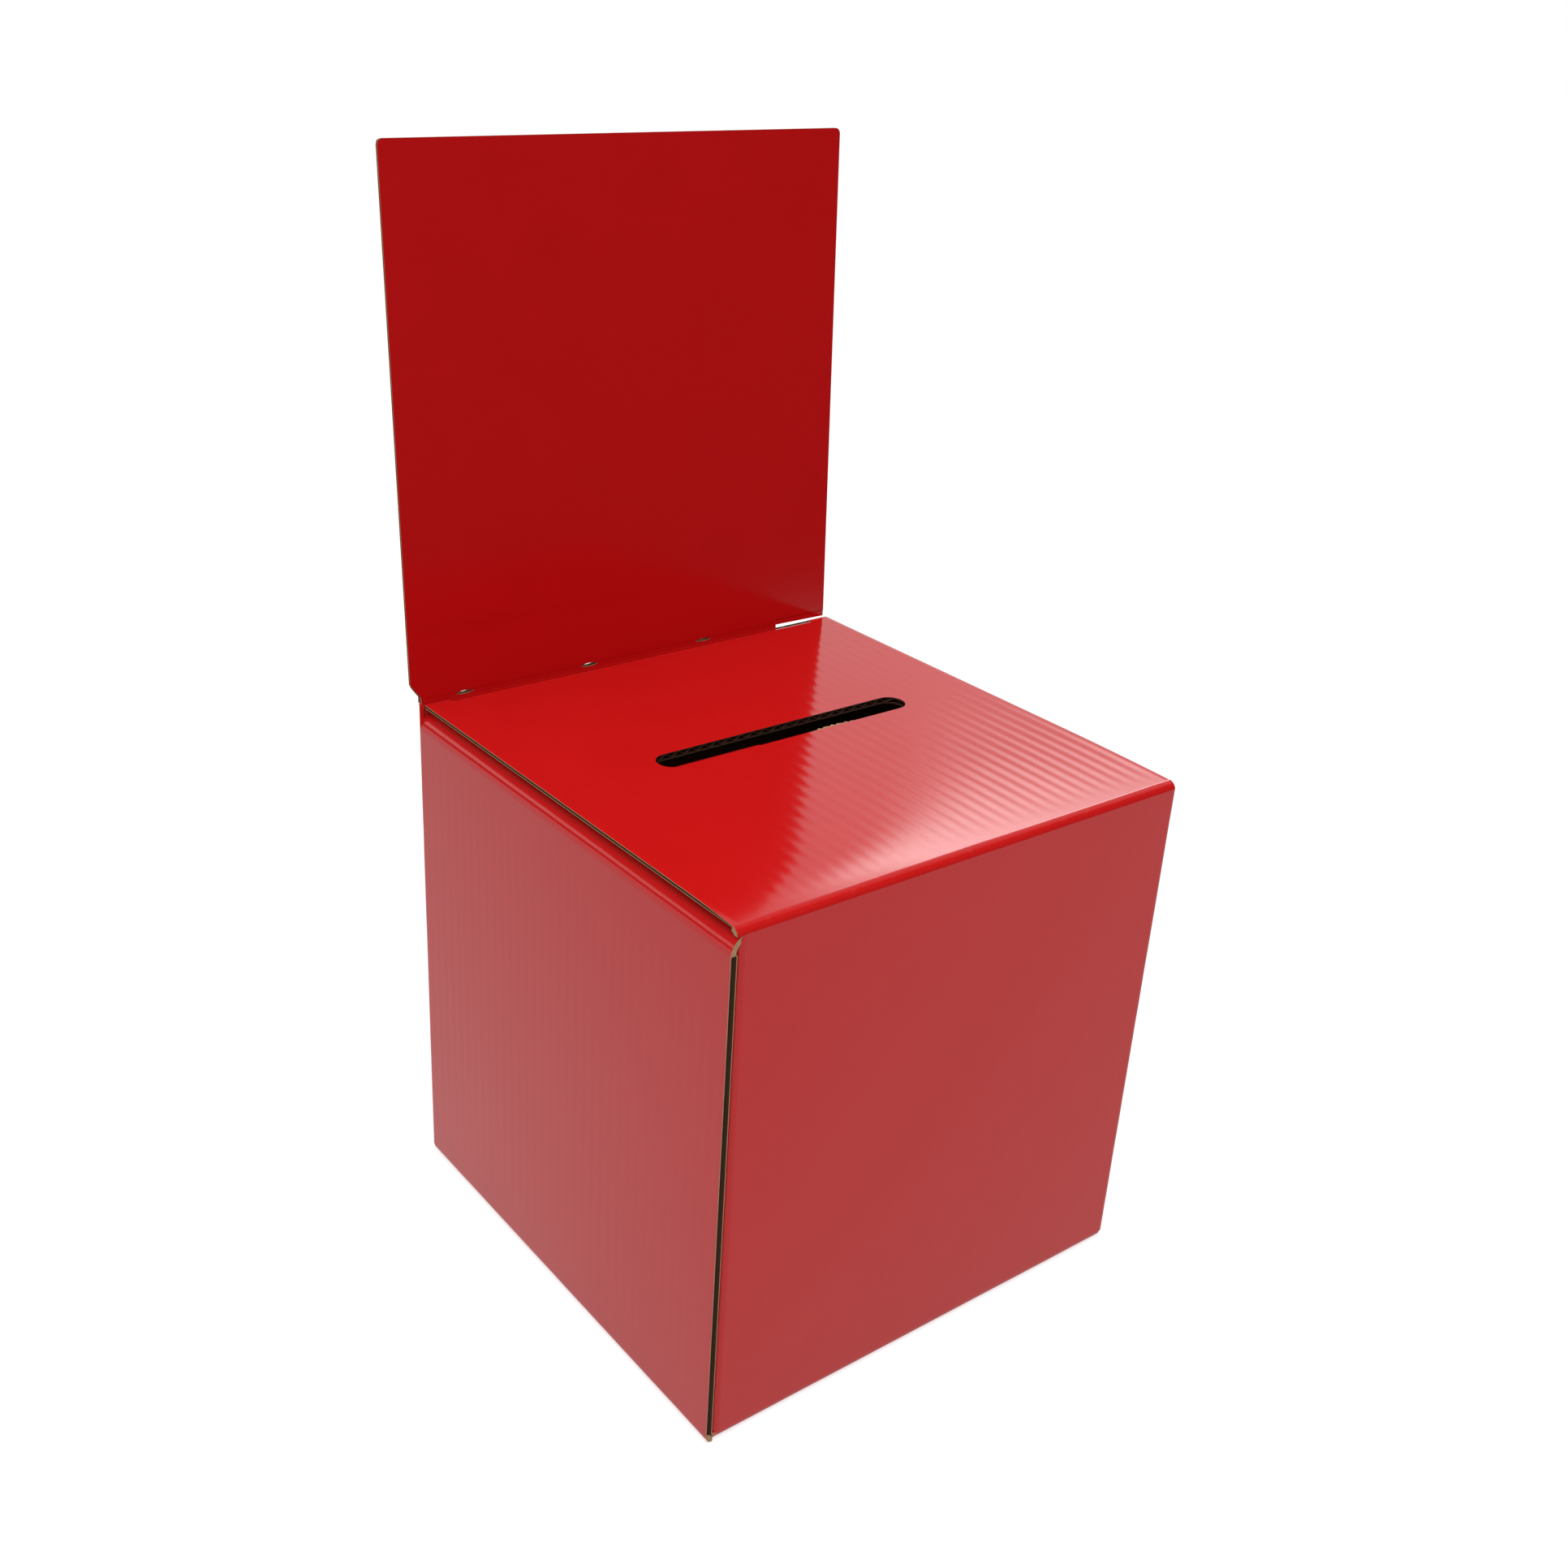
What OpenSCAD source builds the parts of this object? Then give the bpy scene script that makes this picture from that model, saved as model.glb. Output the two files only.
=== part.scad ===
// Cardboard ballot box: one creased sheet of B-flute board, glued into a square tube,
// with a snap-lock bottom, a slotted tuck lid and a tall header on the back wall.
// The front faces -Y, the header stands at +Y and the box rests on Z = 0.

/* [Box] */
// Width over the side walls
body_w = 229; // [180:1:300]
// Depth over the front and back walls
body_d = 229; // [180:1:300]
// Height from the table to the top of the lid
body_h = 235; // [180:1:320]
// Thickness of the board
board = 3; // [2.5:0.1:3.5]

/* [Lid] */
// Distance from a side wall's outer face to the lid's cut edge
lid_inset = 2.2; // [1:0.1:6]
// Length of the ballot slot, over its round ends
slot_l = 132; // [80:1:150]
// Width of the ballot slot
slot_w = 13.4; // [8:0.1:18]
// Sideways place of the slot's centre
slot_x = 5.6; // [-10:0.1:10]
// Place of the slot's centre behind the middle of the lid
slot_y = 8.6; // [-10:0.1:14]
// Length of the tuck flap behind the lid
tuck_l = 58; // [30:1:60]
// Distance from a side wall's outer face to the tuck flap's end
tuck_inset = 12; // [9:0.5:24]
// Radius of the tuck flap's corners
tuck_r = 19; // [8:1:28]
// Inward lean of the tuck flap
tuck_lean = 8; // [8:0.5:12]
// Length of the slit that frees each end of the tuck fold
slit_l = 12; // [10:1:36]

/* [Header] */
// Width of the header
header_w = 229; // [180:1:300]
// Sideways place of the header's middle
header_x = -4; // [-4:0.5:4]
// Height of the header above its crease
header_h = 228; // [120:1:320]
// Backward lean of the header
header_lean = 3; // [0:0.5:8]
// Radius of the header's corners
header_r = 2.5; // [1:0.5:10]
// Width of the slant at the header's left foot
slant_w = 4.5; // [2:0.5:10]
// Height of the slant at the header's left foot
slant_h = 6.5; // [2:0.5:12]
// Length of the open cut at the right end of the header's crease
cut_l = 30; // [10:1:40]
// Length of each nick in the header's crease
nick_l = 9.5; // [4:0.5:16]
// Distance from the open cut to the first nick's middle
nick_inset = 44; // [30:0.5:60]
// Distance between the nicks
nick_step = 64.5; // [50:0.5:68]

/* [Dust flaps] */
// Gap between the tips of the two dust flaps
dust_tip_gap = 3; // [2:0.5:60]
// Place of the dust flaps' step behind the middle of the box
dust_step = 13; // [-6:0.5:16]
// Reach of the part of a dust flap behind its step
dust_back_l = 26; // [20:1:30]
// Distance from the back wall's outer face to a dust flap's end
dust_back_inset = 20; // [19:1:30]
// Size of the dust flaps' cut corners
dust_corner = 8; // [4:1:12]
// Length of the slant at a dust flap's front tip
dust_slant = 28; // [10:1:40]
// Sag of the right dust flap, in degrees
dust_sag = 2; // [0:0.5:4]
// Shadow gap between the lid and the dust flaps
lid_gap = 0.8; // [0.3:0.1:1.5]

/* [Glue flap] */
// Reach of the glue flap behind the left wall
glue_l = 32; // [15:1:45]
// Distance of the left wall's raw edge behind the front wall's face
edge_inset = 0.4; // [0:0.1:1]
// Slope of the glue flap's ends, in degrees
glue_slope = 20; // [5:1:30]
// Distance from the glue flap's ends to the creases above and below
glue_inset = 16; // [12:1:30]

/* [Bottom] */
// Reach of the front bottom flap before its tongue
front_flap_l = 120; // [118:1:124]
// Cut-back of the front bottom flap's corners
front_corner = 24; // [10:1:30]
// Width of the locking tongue
tongue_w = 88; // [50:1:92]
// Length over which the tongue climbs
tongue_ramp = 24; // [20:1:30]
// Length of the tongue past its climb
tongue_l = 20; // [12:1:24]
// Cut corners of the tongue
tongue_corner = 10; // [4:1:12]
// Reach of the back bottom flap
back_flap_l = 146; // [135:1:150]
// Length of the back bottom flap's cut corners
back_corner_l = 44; // [20:1:60]
// Width of the back bottom flap's cut corners
back_corner_w = 30; // [10:1:36]
// Reach of a side bottom flap
side_flap_l = 58; // [35:1:60]
// Cut corners of a side bottom flap
side_corner = 18; // [8:1:24]
// Depth of the notch in a side bottom flap's end
notch = 12; // [6:1:16]
// Length over which a bottom flap climbs to its layer
ramp_l = 16; // [12:1:20]

/* [Clearances] */
// Gap between a hinged panel and its crease
crease_gap = 0.15; // [0.1:0.05:0.3]
// Gap between two layers of board
layer_gap = 0.2; // [0.1:0.05:0.4]
// Gap between the tuck fold and the back wall
tuck_gap = 0.4; // [0.3:0.1:1]
// Side gap between bottom flaps and what stands beside them
flap_gap = 2; // [1.5:0.5:4]

/* [Hidden] */
$fn = 48;
red = "#b01c1c";
kraft = "#a9835a";
half_w = body_w / 2;
half_d = body_d / 2;
// Creases that swing both ways turn about the middle of the board
mid = board / 2;
crease_end = mid + crease_gap;
lid_axis = [0, mid - half_d, body_h - mid];
header_axis = [0, half_d - mid, body_h + layer_gap + mid];
// Folds that only close turn about the inner face of the board
lid_back = half_d - board - tuck_gap;
tuck_axis = [0, lid_back - board, body_h - board];
dust_top = body_h - board - lid_gap;
dust_axis_x = half_w - board;
dust_axis_z = dust_top - board;
// Lowest place of each layer of the bottom
layer = [0, board + layer_gap, 2 * (board + layer_gap), 3 * (board + layer_gap)];
lid_half_w = half_w - lid_inset;
// Outer face of the glue flap, behind the left wall
glue_x = board - half_w + layer_gap;
dust_front = board + 3 * layer_gap - half_d;
dust_rear = half_d - dust_back_inset;
// The dust flaps are widest at their creases, beside the tuck flap's ends
tuck_room = 3.5;
dust_taper = dust_back_inset - board - tuck_room;
corner_gap = 0.1;
slit_gap = 0.3;
overlap = 0.01;
lap = 1;

// Board outline standing up: x and z of the outline, thickness towards -Y from y
module upright(y) {
    translate([0, y, 0]) rotate([90, 0, 0]) linear_extrude(board) children();
}

// Quarter round of an outer fold along X, centred on its inner edge
module fold_round(length) {
    rotate([90, 0, 90]) linear_extrude(length, center = true) intersection() {
        circle(board);
        square(board);
    }
}

// Round-topped end of a wall that a panel swings about, along X
module fold_cap(length) {
    rotate([90, 0, 90]) linear_extrude(length, center = true) union() {
        circle(mid);
        translate([-mid, -crease_end]) square([board, crease_end]);
    }
}

// Round corner between two walls, centred on the inner corner, quarter towards +X +Y.
// Its own wall lies at -X, and a short lap joins them.
module corner_round(low, high) {
    translate([0, 0, low]) linear_extrude(high - low) {
        intersection() {
            circle(board);
            square(board);
        }
        translate([-lap, 0]) square([lap + overlap, board - overlap]);
    }
}

// Its left end turns into the glue flap, inside the left wall's raw edge
module front_wall() {
    left = glue_x + board;
    color(red) {
        upright(board - half_d) translate([left, board])
            square([half_w - board - left, lid_axis[2] - crease_end - board]);
        translate([left, board - half_d, 0]) rotate(180) corner_round(board, dust_top);
        translate([half_w - board, board - half_d, 0]) mirror([1, 0, 0]) rotate(180)
            corner_round(board, dust_top);
    }
}

module right_wall() {
    color(red) {
        translate([half_w - board, board - half_d, board])
            cube([board, body_d - 2 * board, dust_axis_z - board]);
        translate([half_w - board, half_d - board, 0]) rotate(90) mirror([0, 1, 0])
            corner_round(board, dust_axis_z);
    }
}

module back_wall() {
    color(red) {
        upright(half_d) translate([board - half_w, board])
            square([body_w - 2 * board, header_axis[2] - crease_end - board]);
        translate([board - half_w, half_d - board, 0]) mirror([1, 0, 0])
            corner_round(board, dust_top);
    }
}

// Raw front edge, just behind the front wall's face
module left_wall() {
    color(red) translate([-half_w, edge_inset - half_d, board])
        cube([board, body_d - board - edge_inset, dust_axis_z - board]);
}

// Flap behind the left wall's raw edge, hung on the front wall and glued
module glue_flap() {
    low = board + glue_inset;
    high = dust_axis_z - glue_inset;
    slope = glue_l * tan(glue_slope);
    color(kraft) translate([glue_x, board - half_d, 0])
        rotate([90, 0, 90]) linear_extrude(board)
            polygon([[0, low], [glue_l, low + slope], [glue_l, high - slope], [0, high]]);
}

module ballot_slot() {
    reach = slot_l / 2 - slot_w / 2;
    translate([slot_x, slot_y]) union() {
        square([2 * reach, slot_w], center = true);
        for (side = [-1, 1]) translate([side * reach, 0]) circle(d = slot_w);
    }
}

// Runs to its full depth at both ears, beside the slits of the tuck fold
module lid_panel() {
    front = lid_axis[1] + crease_end;
    color(red) translate([0, 0, body_h - board]) linear_extrude(board) difference() {
        translate([-lid_half_w, front]) square([2 * lid_half_w, lid_back - front]);
        translate([slit_l - lid_half_w, tuck_axis[1]])
            square([2 * (lid_half_w - slit_l), 2 * board]);
        ballot_slot();
    }
}

module lid_fold() {
    color(red) translate(lid_axis) fold_cap(2 * lid_half_w);
}

// Rear fold of the lid, cut free at both ends by the slits
module tuck_fold() {
    color(red) translate(tuck_axis) fold_round(2 * (lid_half_w - slit_l - slit_gap));
}

module tuck_flap() {
    reach = half_w - tuck_inset;
    corner = tuck_r;
    color(red) translate(tuck_axis) rotate([-tuck_lean, 0, 0])
        translate([0, board, 0]) upright(0) translate([0, -crease_gap]) difference() {
            translate([-reach, -tuck_l]) square([2 * reach, tuck_l]);
            translate([-reach, -tuck_l]) difference() {
                square(corner);
                translate([corner, corner]) circle(corner);
            }
            translate([reach - corner, -tuck_l]) difference() {
                square(corner);
                translate([0, corner]) circle(corner);
            }
        }
}

// Straight edges, two small rounds and a slant that clears the left wall's corner
module header_outline() {
    half = header_w / 2;
    foot = crease_end;
    top = header_h - header_r;
    union() {
        polygon([
            [slant_w - half, foot], [half, foot], [half, top], [-half, top],
            [-half, foot + slant_h]
        ]);
        translate([header_r - half, top - overlap])
            square([header_w - 2 * header_r, header_r + overlap]);
        for (side = [-1, 1]) translate([side * (half - header_r), top]) circle(header_r);
    }
}

module header_panel() {
    color(red) translate(header_axis) rotate([-header_lean, 0, 0]) upright(mid)
        translate([header_x, 0]) header_outline();
}

// Crease at the header's foot: an open cut at the right end and three nicks
module header_fold() {
    length = body_w - 2 * board;
    cut_x = header_x + header_w / 2 - cut_l;
    color(red) translate(header_axis) difference() {
        fold_cap(length);
        translate([cut_x, -board, -board]) cube([half_w, 2 * board, 2 * board]);
        for (i = [0 : 2]) translate([cut_x - nick_inset - i * nick_step, 0, 0])
            cube([nick_l, 2 * board, 2 * board], center = true);
    }
}

module dust_outline() {
    reach = half_w - board - dust_tip_gap / 2;
    corner = dust_corner;
    polygon([
        [crease_gap, dust_front],
        [reach - dust_slant, dust_front + corner],
        [reach, dust_front + dust_slant + corner],
        [reach, dust_step - corner / 2],
        [reach - corner / 2, dust_step],
        [dust_back_l + corner, dust_step],
        [dust_back_l, dust_step + corner],
        [dust_back_l, dust_rear - corner],
        [dust_back_l - corner, dust_rear],
        [dust_taper, dust_rear],
        [crease_gap, dust_rear + dust_taper]
    ]);
}

// Flap hung on the left wall's top, turned down by its sag
module dust_flap(sag) {
    translate([-dust_axis_x, 0, dust_axis_z]) rotate([0, sag, 0])
        linear_extrude(board) dust_outline();
}

// Fold along a side wall's top, from its front end to the back wall
module dust_fold(front) {
    rear = half_d - board - corner_gap;
    translate([-dust_axis_x, (rear + front) / 2, dust_axis_z])
        rotate(90) fold_round(rear - front);
}

module dust_flap_left() {
    color(red) dust_flap(0);
}

module dust_flap_right() {
    color(red) mirror([1, 0, 0]) dust_flap(dust_sag);
}

// Reaches the left wall's raw front edge
module dust_fold_left() {
    color(red) dust_fold(edge_inset - half_d);
}

module dust_fold_right() {
    color(red) mirror([1, 0, 0]) dust_fold(board + corner_gap - half_d);
}

// Section of a bottom flap: a round fold at the wall, a ramp and a flat end
module flap_section(reach, level) {
    rise = layer[level];
    climb = level * ramp_l;
    union() {
        intersection() {
            translate([board, board]) circle(board);
            square(board);
        }
        polygon([
            [board, 0], [board + climb, rise], [reach, rise],
            [reach, rise + board], [board + climb, rise + board], [board, board]
        ]);
    }
}

// Bottom flap seen from its wall: u runs inwards, v along the wall
module bottom_flap(reach, level, span) {
    intersection() {
        rotate([90, 0, 0]) linear_extrude(span + 2 * lap, center = true)
            flap_section(reach, level);
        translate([0, 0, -lap]) linear_extrude(layer[3] + 2 * board) union() {
            translate([0, -span / 2]) square([board + overlap, span]);
            children();
        }
    }
}

// Outline of a side bottom flap, its front end towards -v
module side_outline() {
    front = 2 * board - half_d;
    back = half_d - 2 * board - 2 * ramp_l - flap_gap;
    corner = side_corner;
    polygon([
        [board, front], [side_flap_l - corner, front + corner / 2],
        [side_flap_l, front + 1.5 * corner],
        [side_flap_l, -corner], [side_flap_l - notch, 0], [side_flap_l, corner],
        [side_flap_l, back - corner], [2 * board, back], [board, back]
    ]);
}

module bottom_flap_left() {
    color(red) translate([-half_w, -board / 2, 0])
        bottom_flap(side_flap_l, 1, body_d - board) translate([0, board / 2])
            side_outline();
}

module bottom_flap_right() {
    span = body_d - 2 * board - 2 * corner_gap;
    color(red) translate([half_w, 0, 0]) mirror([1, 0, 0])
        bottom_flap(side_flap_l, 1, span) side_outline();
}

// Outer flap: its tongue climbs through the slot of the back flap
module bottom_flap_front() {
    reach = half_w - board - ramp_l - 4 * flap_gap;
    tongue = tongue_w / 2;
    top = layer[3];
    neck = front_flap_l - 2 * flap_gap;
    climbed = front_flap_l + tongue_ramp;
    end = climbed + tongue_l;
    section = [
        [board - overlap, 0], [front_flap_l, 0], [climbed, top], [end, top],
        [end, top + board], [climbed, top + board], [front_flap_l, board],
        [board - overlap, board]
    ];
    outline = [
        [board - overlap, -reach], [neck - front_corner, -reach],
        [neck, front_corner - reach], [neck, -tongue],
        [end - tongue_corner, -tongue], [end, tongue_corner - tongue],
        [end, tongue - tongue_corner], [end - tongue_corner, tongue], [neck, tongue],
        [neck, reach - front_corner], [neck - front_corner, reach],
        [board - overlap, reach]
    ];
    color(red) translate([0, -half_d, 0]) rotate(90) {
        intersection() {
            rotate([90, 0, 0]) linear_extrude(body_w, center = true) polygon(section);
            translate([0, 0, -lap]) linear_extrude(top + 2 * board) polygon(outline);
        }
        translate([board, 0, board]) rotate(90) rotate([180, 0, 0])
            fold_round(body_w - 2 * board - 2 * corner_gap);
    }
}

// Inner flap, with the slot that the tongue locks into
module bottom_flap_back() {
    reach = half_w - 3 * board;
    slot_start = body_d - front_flap_l - tongue_ramp - flap_gap;
    slot_reach = tongue_w / 2 + flap_gap;
    color(red) translate([0, half_d, 0]) rotate(-90)
        bottom_flap(back_flap_l, 2, body_w - 2 * board - 2 * corner_gap) difference() {
            polygon([
                [board, -reach], [back_flap_l - back_corner_l, -reach],
                [back_flap_l, back_corner_w - reach], [back_flap_l, reach - back_corner_w],
                [back_flap_l - back_corner_l, reach], [board, reach]
            ]);
            translate([slot_start, -slot_reach])
                square([tongue_ramp - flap_gap, 2 * slot_reach]);
        }
}

front_wall();
right_wall();
back_wall();
left_wall();
glue_flap();
lid_panel();
lid_fold();
tuck_flap();
tuck_fold();
header_panel();
header_fold();
dust_flap_left();
dust_flap_right();
dust_fold_left();
dust_fold_right();
bottom_flap_front();
bottom_flap_back();
bottom_flap_left();
bottom_flap_right();
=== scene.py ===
import math
import bpy
import numpy as np
from mathutils import Matrix, Vector


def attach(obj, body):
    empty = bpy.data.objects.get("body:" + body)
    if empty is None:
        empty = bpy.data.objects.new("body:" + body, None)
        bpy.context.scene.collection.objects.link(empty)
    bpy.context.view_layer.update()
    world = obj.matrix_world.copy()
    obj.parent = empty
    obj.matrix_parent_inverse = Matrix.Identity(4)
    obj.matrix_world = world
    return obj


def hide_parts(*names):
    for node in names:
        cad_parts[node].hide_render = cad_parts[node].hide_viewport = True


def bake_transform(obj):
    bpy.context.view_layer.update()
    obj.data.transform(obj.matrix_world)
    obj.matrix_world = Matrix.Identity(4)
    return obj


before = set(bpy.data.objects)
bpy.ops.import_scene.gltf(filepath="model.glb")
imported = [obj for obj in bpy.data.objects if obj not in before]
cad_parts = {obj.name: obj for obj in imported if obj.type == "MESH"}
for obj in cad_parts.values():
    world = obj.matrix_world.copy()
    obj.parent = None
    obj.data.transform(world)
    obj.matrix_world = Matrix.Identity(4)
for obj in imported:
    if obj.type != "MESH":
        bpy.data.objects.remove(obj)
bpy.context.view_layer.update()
mm = 0.001
print("frame loaded:", len(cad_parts), "nodes")


def linear(hexColour):
    # sRGB hex to the linear values that the sockets take
    parts = [int(hexColour[i:i + 2], 16) / 255 for i in (1, 3, 5)]
    return tuple(c / 12.92 if c <= 0.04045 else ((c + 0.055) / 1.055) ** 2.4 for c in parts) + (1.0,)


def addNode(tree, kind, inputs=None, **settings):
    # one node with its settings, its fixed values and its links
    node = tree.nodes.new(kind)
    for name, value in settings.items():
        setattr(node, name, value)
    for key, value in (inputs or {}).items():
        for item in (value if isinstance(value, list) else [value]):
            if isinstance(item, bpy.types.NodeSocket):
                tree.links.new(item, node.inputs[key])
            else:
                node.inputs[key].default_value = item
    return node


def newMaterial(name):
    material = bpy.data.materials.new(name)
    material.use_nodes = True
    material.node_tree.nodes.clear()
    return material, material.node_tree


# camera: solved on the box's and the header's corners in the photograph
cameraValues = {
    "place": (-0.43236, -0.51798, 0.53171),
    "right": (0.80650, -0.58983, 0.04067),
    "up": (0.22286, 0.36700, 0.90313),
    "back": (-0.54763, -0.71931, 0.42743),
    "lens": 40.123,
    "shiftX": 0.0445,
}
cameraData = bpy.data.cameras.new("studioCamera")
cameraData.sensor_width = 36
cameraData.lens = cameraValues["lens"]
cameraData.shift_x = cameraValues["shiftX"]
cameraData.clip_end = 50
camera = bpy.data.objects.new("studioCamera", cameraData)
turn = Matrix([cameraValues["right"], cameraValues["up"], cameraValues["back"]]).transposed().to_4x4()
camera.matrix_world = Matrix.Translation(cameraValues["place"]) @ turn
bpy.context.scene.collection.objects.link(camera)
bpy.context.scene.camera = camera
bpy.context.scene.view_settings.view_transform = "Standard"

# studio: white surround, pale floor, a softbox in front and a soft strip of light behind on the right
studioValues = {
    "surround": 0.58,          # what lights the board from all round
    "frontDim": 0.03,          # what gloss sees in front of the box
    "leftDim": 0.06,           # and up on the left
    "leftGlow": 1.2,           # a low bright band on the left, seen in the round shoulder
    "backdrop": 0.87,          # what gloss sees behind the box
    "softboxPlace": (-0.42, -0.52, 1.85),
    "softboxSize": 1.1,
    "softboxPower": 14.0,
    "stripTurn": 36.0,         # degrees from +X to a long lamp behind, which only the gloss picks up
    "stripAside": (7.0, 11.0), # degrees to its sides where it starts to fade and where it ends
    "stripLow": (22.9, 31.0),  # degrees over the horizon where it starts and where it is full
    "stripHigh": (32.0, 35.5), # and where it fades out again
    "stripLight": 4.4,
    "floorWhite": 0.67,        # own light of the floor as the camera sees it
    "floorTone": 0.58,
}
world = bpy.data.worlds.new("studioSurround")
bpy.context.scene.world = world
world.use_nodes = True
world.cycles.sampling_method = "NONE"
tree = world.node_tree
tree.nodes.clear()
rayKind = addNode(tree, "ShaderNodeLightPath")
direction = addNode(tree, "ShaderNodeSeparateXYZ",
                    {0: addNode(tree, "ShaderNodeTexCoord").outputs["Generated"]})
seenFromBack = addNode(tree, "ShaderNodeMapRange", {
    "Value": direction.outputs["Y"], "From Min": -0.45, "From Max": 0.05,
    "To Min": studioValues["frontDim"], "To Max": studioValues["backdrop"]}, interpolation_type="SMOOTHSTEP")
seenFromRight = addNode(tree, "ShaderNodeMapRange", {
    "Value": direction.outputs["X"], "From Min": -0.32, "From Max": 0.20,
    "To Min": studioValues["leftDim"], "To Max": 1.0}, interpolation_type="SMOOTHSTEP")
overhead = addNode(tree, "ShaderNodeMapRange", {
    "Value": direction.outputs["Z"], "From Min": 0.55, "From Max": 0.9,
    "To Min": 1.0, "To Max": 0.35}, interpolation_type="SMOOTHSTEP")
backdrop = addNode(tree, "ShaderNodeMath", {0: seenFromBack.outputs[0], 1: overhead.outputs[0]},
                   operation="MULTIPLY")
backdrop = addNode(tree, "ShaderNodeMath", {0: backdrop.outputs[0], 1: seenFromRight.outputs[0]},
                   operation="MULTIPLY")
turn = math.radians(studioValues["stripTurn"])
aside = addNode(tree, "ShaderNodeVectorMath", {
    0: addNode(tree, "ShaderNodeTexCoord").outputs["Generated"], 1: (-math.sin(turn), math.cos(turn), 0)},
    operation="DOT_PRODUCT")
aside = addNode(tree, "ShaderNodeMath", {0: aside.outputs["Value"]}, operation="ABSOLUTE")
asideNear, asideFar = (0.9 * math.sin(math.radians(a)) for a in studioValues["stripAside"])
aside = addNode(tree, "ShaderNodeMapRange", {
    "Value": aside.outputs[0], "From Min": asideNear, "From Max": asideFar, "To Min": studioValues["stripLight"],
    "To Max": 0.0}, interpolation_type="SMOOTHSTEP")
stripLow, stripFull = (math.sin(math.radians(a)) for a in studioValues["stripLow"])
raised = addNode(tree, "ShaderNodeMapRange", {
    "Value": direction.outputs["Z"], "From Min": stripLow, "From Max": stripFull, "To Min": 0.0, "To Max": 1.0})
stripFade, stripEnd = (math.sin(math.radians(a)) for a in studioValues["stripHigh"])
ended = addNode(tree, "ShaderNodeMapRange", {
    "Value": direction.outputs["Z"], "From Min": stripFade, "From Max": stripEnd, "To Min": 1.0, "To Max": 0.0},
    interpolation_type="SMOOTHSTEP")
strip = addNode(tree, "ShaderNodeMath", {0: aside.outputs[0], 1: raised.outputs[0]}, operation="MULTIPLY")
strip = addNode(tree, "ShaderNodeMath", {0: strip.outputs[0], 1: ended.outputs[0]}, operation="MULTIPLY")
glowHeight = addNode(tree, "ShaderNodeMath", {0: direction.outputs["Z"], 1: -0.22}, operation="ADD")
glowHeight = addNode(tree, "ShaderNodeMath", {0: glowHeight.outputs[0]}, operation="ABSOLUTE")
glow = addNode(tree, "ShaderNodeMapRange", {
    "Value": glowHeight.outputs[0], "From Min": 0.05, "From Max": 0.12, "To Min": studioValues["leftGlow"],
    "To Max": 0.0}, interpolation_type="SMOOTHSTEP")
glowSide = addNode(tree, "ShaderNodeMapRange", {
    "Value": direction.outputs["X"], "From Min": -0.32, "From Max": -0.10, "To Min": 1.0, "To Max": 0.0})
glow = addNode(tree, "ShaderNodeMath", {0: glow.outputs[0], 1: glowSide.outputs[0]}, operation="MULTIPLY")
glossSees = addNode(tree, "ShaderNodeMath", {0: backdrop.outputs[0], 1: strip.outputs[0]}, operation="ADD")
glossSees = addNode(tree, "ShaderNodeMath", {0: glossSees.outputs[0], 1: glow.outputs[0]}, operation="ADD")
lit = addNode(tree, "ShaderNodeBackground", {"Color": (1, 1, 1, 1), "Strength": studioValues["surround"]})
mirrored = addNode(tree, "ShaderNodeBackground", {"Color": (1, 1, 1, 1), "Strength": glossSees.outputs[0]})
white = addNode(tree, "ShaderNodeBackground", {"Color": (1, 1, 1, 1), "Strength": 1.0})
clearRay = addNode(tree, "ShaderNodeMath", {
    0: rayKind.outputs["Is Camera Ray"], 1: rayKind.outputs["Is Transmission Ray"]}, operation="MAXIMUM")
lower = addNode(tree, "ShaderNodeMixShader", {
    0: rayKind.outputs["Is Glossy Ray"], 1: lit.outputs[0], 2: mirrored.outputs[0]})
upper = addNode(tree, "ShaderNodeMixShader", {0: clearRay.outputs[0], 1: lower.outputs[0], 2: white.outputs[0]})
addNode(tree, "ShaderNodeOutputWorld", {"Surface": upper.outputs[0]})

softboxData = bpy.data.lights.new("softbox", "AREA")
softboxData.shape = "SQUARE"
softboxData.size = studioValues["softboxSize"]
softboxData.energy = studioValues["softboxPower"]
softbox = bpy.data.objects.new("softbox", softboxData)
softbox.location = studioValues["softboxPlace"]
softbox.rotation_euler = (Vector((0, 0, 0.2)) - softbox.location).to_track_quat("-Z", "Y").to_euler()
bpy.context.scene.collection.objects.link(softbox)

floorMesh = bpy.data.meshes.new("studioFloor")
floorMesh.from_pydata([(-6, -6, 0), (6, -6, 0), (6, 6, 0), (-6, 6, 0)], [], [(0, 1, 2, 3)])
floor = bpy.data.objects.new("studioFloor", floorMesh)
floor.location.z = -0.0004
bpy.context.scene.collection.objects.link(floor)
floorMaterial, tree = newMaterial("paleStudioFloor")
floorMaterial.cycles.emission_sampling = "NONE"
rayKind = addNode(tree, "ShaderNodeLightPath")
place = addNode(tree, "ShaderNodeSeparateXYZ",
                {0: addNode(tree, "ShaderNodeTexCoord").outputs["Object"]})
nearFront = addNode(tree, "ShaderNodeMapRange", {
    "Value": place.outputs["Y"], "From Min": -0.68, "From Max": -0.50,
    "To Min": 0.04, "To Max": 0.66}, interpolation_type="SMOOTHSTEP")
leftGloss = addNode(tree, "ShaderNodeMapRange", {
    "Value": place.outputs["X"], "From Min": -0.40, "From Max": -0.12, "To Min": 0.70, "To Max": 0.86})
leftFront = addNode(tree, "ShaderNodeMapRange", {
    "Value": place.outputs["Y"], "From Min": -0.11, "From Max": 0.12, "To Min": 0.84, "To Max": 1.0})
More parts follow.
